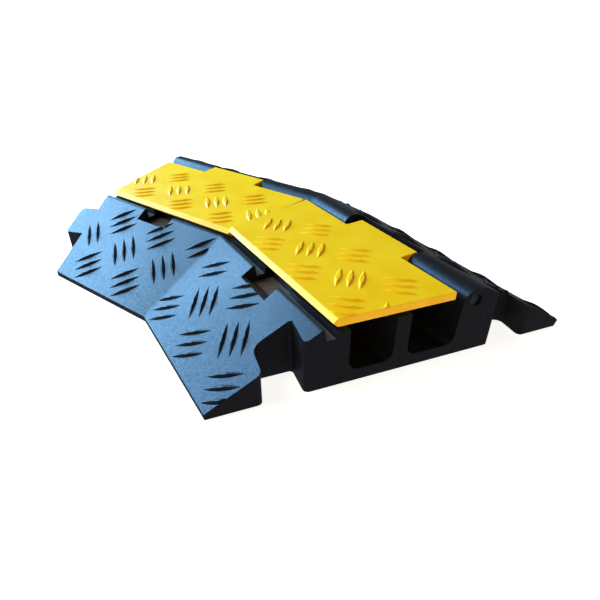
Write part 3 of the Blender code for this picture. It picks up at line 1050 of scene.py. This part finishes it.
class CABLERAMP_OT_ramp_tread(bpy.types.Operator):
    """Build the ribs on the near and far ramps of both legs"""

    bl_idname = "cable_ramp.ramp_tread"
    bl_label = "Ramp tread"

    def execute(self, context):
        settings = context.scene.cable_ramp_tread
        arc_steps = context.scene.cable_ramp_base.arc_steps
        rib = rib_mesh(
            settings.ramp_length,
            settings.ramp_width,
            settings.ramp_height,
            settings.ramp_crest,
            RAMP_RIB_ROUNDING,
        )
        for leg, side in SIDES.items():
            for name, facing, surface, first_row, notch_centre in (
                ("near", -1.0, near_ramp_frame(), NEAR_FIRST_ROW, NOTCH_CENTRES[0]),
                ("far", 1.0, far_ramp_frame(), FAR_FIRST_ROW, NOTCH_CENTRES[1]),
            ):
                margins = [RAMP_TOP_ROW_MARGIN[leg] if name == "near" else RAMP_MITRE_MARGIN]
                margins += [RAMP_MITRE_MARGIN] * (TREAD_ROWS - 1)
                end_margins = [RAMP_TOP_ROW_END_MARGIN[leg] if name == "near" else RAMP_END_MARGIN[leg]]
                end_margins += [RAMP_END_MARGIN[leg]] * (TREAD_ROWS - 1)
                bm = tread(
                    surface,
                    rib,
                    settings.ramp_spacing,
                    facing * first_row,
                    facing * RAMP_ROW_STEP,
                    RAMP_FIRST_GROUP[leg],
                    GROUP_STEP[f"ramp_{leg}"],
                    RIB_TURNS[leg],
                    margins,
                    end_margins,
                )
                trim_at_mitre(bm, CUT_EDGE)
                trim_at_end(bm, CUT_EDGE)
                place(bm, leg_matrix(side))
                cuts = []
                if name == "near":
                    cuts.append(("DIFFERENCE", placed(finger_slot(), leg_matrix(side))))
                else:
                    cuts.append(("DIFFERENCE", placed(tab_recess(leg, arc_steps), leg_matrix(side))))
                if leg == "b":
                    cuts.append(("DIFFERENCE", placed(notch(notch_centre), end_matrix(1.0))))
                bm = carve(bm, cuts)
                finish_piece(f"{name}_ramp_tread_{leg}", bm, "base", moulded_rubber())
        return {"FINISHED"}


def lid_placement(leg):
    """From a leg's coordinates to the frame, for its lid as it lies when closed."""
    hinge = Matrix.Translation((0.0, HINGE_V, HINGE_Z))
    lowered = hinge @ Matrix.Rotation(math.radians(LID_DROOP[leg]), 4, "X") @ hinge.inverted()
    return leg_matrix(SIDES[leg]) @ lowered


def lid_plate():
    """A lid's flat plate, with its nose chamfer."""
    outline = [
        (LID_NOSE_V + LID_CHAMFER, LID_BOTTOM),
        (LID_REAR_V, LID_BOTTOM),
        (LID_REAR_V, LID_TOP),
        (LID_NOSE_V + LID_CHAMFER, LID_TOP),
        (LID_NOSE_V, LID_NOSE_Z),
    ]
    bm = bar(outline, -OVERLENGTH, LEG_LENGTH + OVERLENGTH)
    trim_at_mitre(bm, LID_MITRE_GAP)
    trim_at_end(bm, LID_END_SETBACK)
    return bm


def mitre_chips():
    """The cuts from above that leave small chips in lid A's edge along the mitre."""
    tools = []
    for v, radius in MITRE_CHIPS:
        bm = bmesh.new()
        centre = Matrix.Translation((-MITRE_SLOPE * v, v, LID_TOP))
        bmesh.ops.create_cone(
            bm,
            cap_ends=True,
            segments=CHIP_SIDES,
            radius1=radius * CHIP_TAPER,
            radius2=radius,
            depth=CHIP_DEPTH,
            matrix=centre,
        )
        tools.append(("DIFFERENCE", bm))
    return tools


def hinge_tab(steps):
    """The tab at a lid's rear edge that wraps round the hinge pin."""
    start = math.degrees(math.asin((LID_BOTTOM - HINGE_Z) / KNUCKLE_R))
    end = math.degrees(math.acos((TAB_REAR_V - HINGE_V) / KNUCKLE_R))
    outline = [
        (LID_REAR_V - BARREL_R, LID_BOTTOM),
        *arc((HINGE_V, HINGE_Z), KNUCKLE_R, 180.0 - start, 360.0 + end, 4 * steps),
        (TAB_REAR_V, LID_TOP),
        (LID_REAR_V - BARREL_R, LID_TOP),
    ]
    return bar(outline, *TAB_SPAN)


class CABLERAMP_OT_lids(bpy.types.Operator):
    """Build the two lids, each with its hinge tab and ribs"""

    bl_idname = "cable_ramp.lids"
    bl_label = "Lids"

    def execute(self, context):
        sizes = context.scene.cable_ramp_tread
        settings = context.scene.cable_ramp_lids
        steps = context.scene.cable_ramp_base.arc_steps
        rib = rib_mesh(
            sizes.lid_length, sizes.lid_width, sizes.lid_height, sizes.lid_crest, LID_RIB_ROUNDING
        )
        top = surface_frame(LID_REAR_V, LID_TOP, -1.0, 0.0)
        for leg in SIDES:
            bore = rod(BORE_R, *RECESS_SPAN[leg], 6 * steps)
            chips = mitre_chips() if leg == "a" else []
            bm = carve(lid_plate(), [("UNION", hinge_tab(steps)), ("DIFFERENCE", bore), *chips])
            bmesh.ops.remove_doubles(bm, verts=bm.verts, dist=CUT_MERGE)
            bevel(bm, sharp_edges(bm, BEVEL_ANGLE, SHORTEST_LID_EDGE), settings.edge_radius, EDGE_STEPS)
            place(bm, lid_placement(leg))
            lid = f"lid_{leg}"
            finish_piece(f"lid_shell_{leg}", bm, lid, moulded_polyethylene(), [lid])
            ribs = tread(
                top,
                rib,
                sizes.lid_spacing,
                LID_FIRST_ROW_V - LID_REAR_V,
                -LID_ROW_STEP,
                LID_FIRST_GROUP[leg],
                GROUP_STEP[f"lid_{leg}"],
                RIB_TURNS[leg],
                [LID_MARGIN] * TREAD_ROWS,
                [LID_END_MARGIN[leg]] * TREAD_ROWS,
            )
            trim_at_mitre(ribs, LID_MITRE_GAP + CUT_EDGE)
            trim_at_end(ribs, LID_END_SETBACK + CUT_EDGE)
            nose = Vector((0.0, LID_NOSE_V + LID_CHAMFER + CUT_EDGE, 0.0))
            trim(ribs, nose, Vector((0.0, -1.0, 0.0)))
            place(ribs, lid_placement(leg))
            finish_piece(f"lid_tread_{leg}", ribs, lid, moulded_polyethylene())
        return {"FINISHED"}


class CABLERAMP_OT_pins(bpy.types.Operator):
    """Build the two hinge pins"""

    bl_idname = "cable_ramp.pins"
    bl_label = "Hinge pins"

    def execute(self, context):
        settings = context.scene.cable_ramp_pins
        end = LEG_LENGTH + MITRE_SLOPE * HINGE_V - PIN_SETBACK
        for leg, side in SIDES.items():
            bm = rod(PIN_R, PIN_START, end, ROD_SEGMENTS)
            rims = [edge for edge in bm.edges if abs(edge.verts[0].co.x - edge.verts[1].co.x) < FINE_MERGE]
            bevel(bm, rims, settings.end_chamfer, EDGE_STEPS)
            place(bm, leg_matrix(side))
            pin = f"hinge_pin_{leg}"
            finish_piece(f"hinge_rod_{leg}", bm, "base", blackened_steel(), [pin])
        return {"FINISHED"}


def add_window(colour, power):
    """A tall soft window to the left of the object, which the rubber reflects."""
    light = bpy.data.lights.new("window", "AREA")
    light.shape = "RECTANGLE"
    light.size = WINDOW_SIZE[0]
    light.size_y = WINDOW_SIZE[1]
    light.color = colour
    light.energy = power
    item = bpy.data.objects.new("window", light)
    raised = Matrix.Rotation(-math.radians(WINDOW_ELEVATION), 3, "Y")
    away = Matrix.Rotation(math.radians(WINDOW_AZIMUTH), 3, "Z") @ raised @ Vector((1.0, 0.0, 0.0))
    item.location = away * WINDOW_DISTANCE
    item.rotation_euler = away.to_track_quat("Z", "Y").to_euler()
    bpy.context.scene.collection.objects.link(item)


def add_glow(name, direction, colour, strength):
    """A broad soft light from one direction that leaves no reflection of its own."""
    light = bpy.data.lights.new(name, "SUN")
    light.color = colour
    light.energy = strength
    light.angle = math.radians(GLOW_ANGLE)
    item = bpy.data.objects.new(name, light)
    item.rotation_euler = Vector(direction).to_track_quat("Z", "Y").to_euler()
    item.visible_glossy = False
    bpy.context.scene.collection.objects.link(item)


class CABLERAMP_OT_stage(bpy.types.Operator):
    """Set the floor, the soft lights and the camera"""

    bl_idname = "cable_ramp.stage"
    bl_label = "Stage"

    def execute(self, context):
        settings = context.scene.cable_ramp_stage
        bm = bmesh.new()
        bmesh.ops.create_grid(bm, x_segments=2, y_segments=2, size=FLOOR_REACH)
        mesh = bpy.data.meshes.new("floor")
        bm.to_mesh(mesh)
        bm.free()
        floor = bpy.data.objects.new("floor", mesh)
        mesh.materials.append(painted_board())
        floor.visible_glossy = False
        context.scene.collection.objects.link(floor)

        add_window(settings.window, settings.window_power)
        add_glow("key", KEY_DIRECTION, settings.key, settings.key_strength)
        add_glow("fill", FILL_DIRECTION, settings.fill, settings.fill_strength)

        world = bpy.data.worlds.new("studio_air")
        world.use_nodes = True
        tree = world.node_tree
        tree.nodes.clear()
        seen = add_node(tree, "ShaderNodeLightPath").outputs["Is Camera Ray"]
        air = add_node(
            tree,
            "ShaderNodeBackground",
            inputs={"Color": (*linear("#C9CDD6"), 1.0), "Strength": AIR_STRENGTH},
        ).outputs["Background"]
        backdrop = add_node(
            tree, "ShaderNodeBackground", inputs={"Color": (*linear("#F4F4F3"), 1.0), "Strength": 1.0}
        ).outputs["Background"]
        both = add_node(
            tree, "ShaderNodeMixShader", inputs={0: seen, 1: air, 2: backdrop}
        ).outputs["Shader"]
        add_node(tree, "ShaderNodeOutputWorld", inputs={"Surface": both})
        context.scene.world = world
        context.scene.view_settings.view_transform = "Standard"

        camera = bpy.data.cameras.new("camera")
        camera.sensor_width = SENSOR_WIDTH
        camera.lens = settings.focal_length
        camera.clip_start = 0.01
        item = bpy.data.objects.new("camera", camera)
        item.location = CAMERA_PLACE
        tilt = math.radians(90.0 - CAMERA_ELEVATION)
        item.rotation_euler = (tilt, 0.0, math.radians(CAMERA_AZIMUTH))
        context.scene.collection.objects.link(item)
        context.scene.camera = item
        return {"FINISHED"}


class CABLERAMP_PT_panel(bpy.types.Panel):
    """The ramp's pieces, in the sidebar"""

    bl_idname = "CABLERAMP_PT_panel"
    bl_label = "Cable Ramp"
    bl_space_type = "VIEW_3D"
    bl_region_type = "UI"
    bl_category = "Cable Ramp"

    def draw(self, context):
        for operator in OPERATORS:
            self.layout.operator(operator.bl_idname)
        for name, group in GROUPS.items():
            box = self.layout.box()
            box.label(text=group.__doc__)
            for setting in group.__annotations__:
                box.prop(getattr(context.scene, name), setting)


GROUPS = {
    "cable_ramp_base": CABLERAMP_PG_base,
    "cable_ramp_tread": CABLERAMP_PG_tread,
    "cable_ramp_lids": CABLERAMP_PG_lids,
    "cable_ramp_pins": CABLERAMP_PG_pins,
    "cable_ramp_stage": CABLERAMP_PG_stage,
}
OPERATORS = [
    CABLERAMP_OT_stage,
    CABLERAMP_OT_base,
    CABLERAMP_OT_ramp_tread,
    CABLERAMP_OT_lids,
    CABLERAMP_OT_pins,
]


def register():
    for item in [*GROUPS.values(), *OPERATORS, CABLERAMP_PT_panel]:
        bpy.utils.register_class(item)
    for name, group in GROUPS.items():
        setattr(bpy.types.Scene, name, PointerProperty(type=group))


def unregister():
    for name in GROUPS:
        delattr(bpy.types.Scene, name)
    for item in reversed([*GROUPS.values(), *OPERATORS, CABLERAMP_PT_panel]):
        bpy.utils.unregister_class(item)


def main():
    register()
    bpy.ops.cable_ramp.stage()
    bpy.ops.cable_ramp.base()
    bpy.ops.cable_ramp.ramp_tread()
    bpy.ops.cable_ramp.lids()
    bpy.ops.cable_ramp.pins()


if __name__ == "__main__":
    main()
